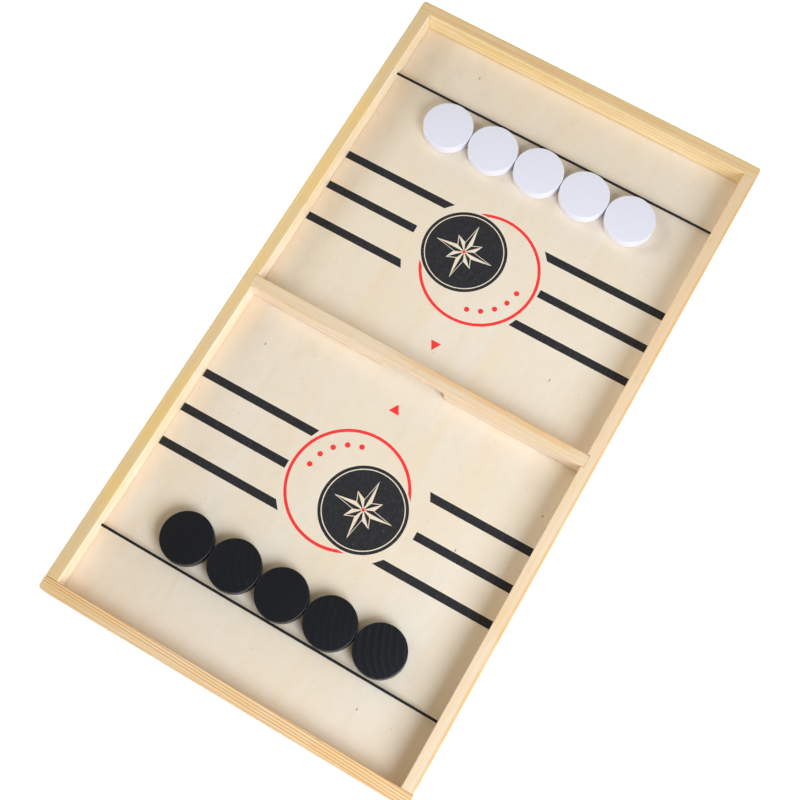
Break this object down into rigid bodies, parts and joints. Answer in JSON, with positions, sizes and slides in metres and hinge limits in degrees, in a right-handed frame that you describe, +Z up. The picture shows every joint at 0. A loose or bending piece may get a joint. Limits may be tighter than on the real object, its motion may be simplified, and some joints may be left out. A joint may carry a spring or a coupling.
{
  "type": "sling puck board game",
  "caption": "Shallow wooden tray game in two halves, with an elastic sling at each end and a low gate in the divider for sliding pucks through.",
  "frame": {"origin": "middle of the underside, on the plane that the rails stand on", "axes": "+X to the right and +Y from the near player to the far player, +Z up out of the tray"},
  "size_m": [0.3, 0.55, 0.025],
  "materials": {
    "pine": "sanded and lightly sealed pine",
    "plywood": "fine sanded birch plywood with printed lines",
    "black_paint": "satin black paint on turned wood",
    "white_paint": "satin white paint on turned wood",
    "elastic": "braided black elastic cord",
    "steel": "plain steel brads"
  },
  "bodies": {
    "root": {"base_board": "plywood", "left_side_rail": "pine", "right_side_rail": "pine", "near_end_rail": "pine", "far_end_rail": "pine", "divider_bar": "pine", "near_left_brad_1": "steel", "near_left_brad_2": "steel", "near_right_brad_1": "steel", "near_right_brad_2": "steel", "far_left_brad_1": "steel", "far_left_brad_2": "steel", "far_right_brad_1": "steel", "far_right_brad_2": "steel", "divider_left_brad": "steel", "divider_right_brad": "steel"},
    "near_sling": {"near_elastic": "elastic"},
    "far_sling": {"far_elastic": "elastic"},
    "black_puck_1": {"black_puck_1": "black_paint"},
    "black_puck_2": {"black_puck_2": "black_paint"},
    "black_puck_3": {"black_puck_3": "black_paint"},
    "black_puck_4": {"black_puck_4": "black_paint"},
    "black_puck_5": {"black_puck_5": "black_paint"},
    "white_puck_1": {"white_puck_1": "white_paint"},
    "white_puck_2": {"white_puck_2": "white_paint"},
    "white_puck_3": {"white_puck_3": "white_paint"},
    "white_puck_4": {"white_puck_4": "white_paint"},
    "white_puck_5": {"white_puck_5": "white_paint"}
  },
  "joints": [
    {"name": "near_sling_draw", "type": "slide", "parent": "root", "child": "near_sling", "axis": [0, 1, 0], "range_m": [-0.04, 0], "stiffness_N_per_m": 60, "deforming": ["near_elastic"]},
    {"name": "far_sling_draw", "type": "slide", "parent": "root", "child": "far_sling", "axis": [0, -1, 0], "range_m": [-0.04, 0], "stiffness_N_per_m": 60, "deforming": ["far_elastic"]},
    {"name": "black_puck_1_slide", "type": "slide", "parent": "root", "child": "black_puck_1", "axis": [0, 1, 0], "range_m": [0, 0.166]},
    {"name": "black_puck_2_slide", "type": "slide", "parent": "root", "child": "black_puck_2", "axis": [0, 1, 0], "range_m": [0, 0.166]},
    {"name": "black_puck_3_slide", "type": "slide", "parent": "near_sling", "child": "black_puck_3", "axis": [0, 1, 0], "range_m": [0, 0.344]},
    {"name": "black_puck_4_slide", "type": "slide", "parent": "root", "child": "black_puck_4", "axis": [0, 1, 0], "range_m": [0, 0.166]},
    {"name": "black_puck_5_slide", "type": "slide", "parent": "root", "child": "black_puck_5", "axis": [0, 1, 0], "range_m": [0, 0.166]},
    {"name": "white_puck_1_slide", "type": "slide", "parent": "root", "child": "white_puck_1", "axis": [0, -1, 0], "range_m": [0, 0.166]},
    {"name": "white_puck_2_slide", "type": "slide", "parent": "root", "child": "white_puck_2", "axis": [0, -1, 0], "range_m": [0, 0.166]},
    {"name": "white_puck_3_slide", "type": "slide", "parent": "far_sling", "child": "white_puck_3", "axis": [0, -1, 0], "range_m": [0, 0.344]},
    {"name": "white_puck_4_slide", "type": "slide", "parent": "root", "child": "white_puck_4", "axis": [0, -1, 0], "range_m": [0, 0.166]},
    {"name": "white_puck_5_slide", "type": "slide", "parent": "root", "child": "white_puck_5", "axis": [0, -1, 0], "range_m": [0, 0.166]}
  ]
}
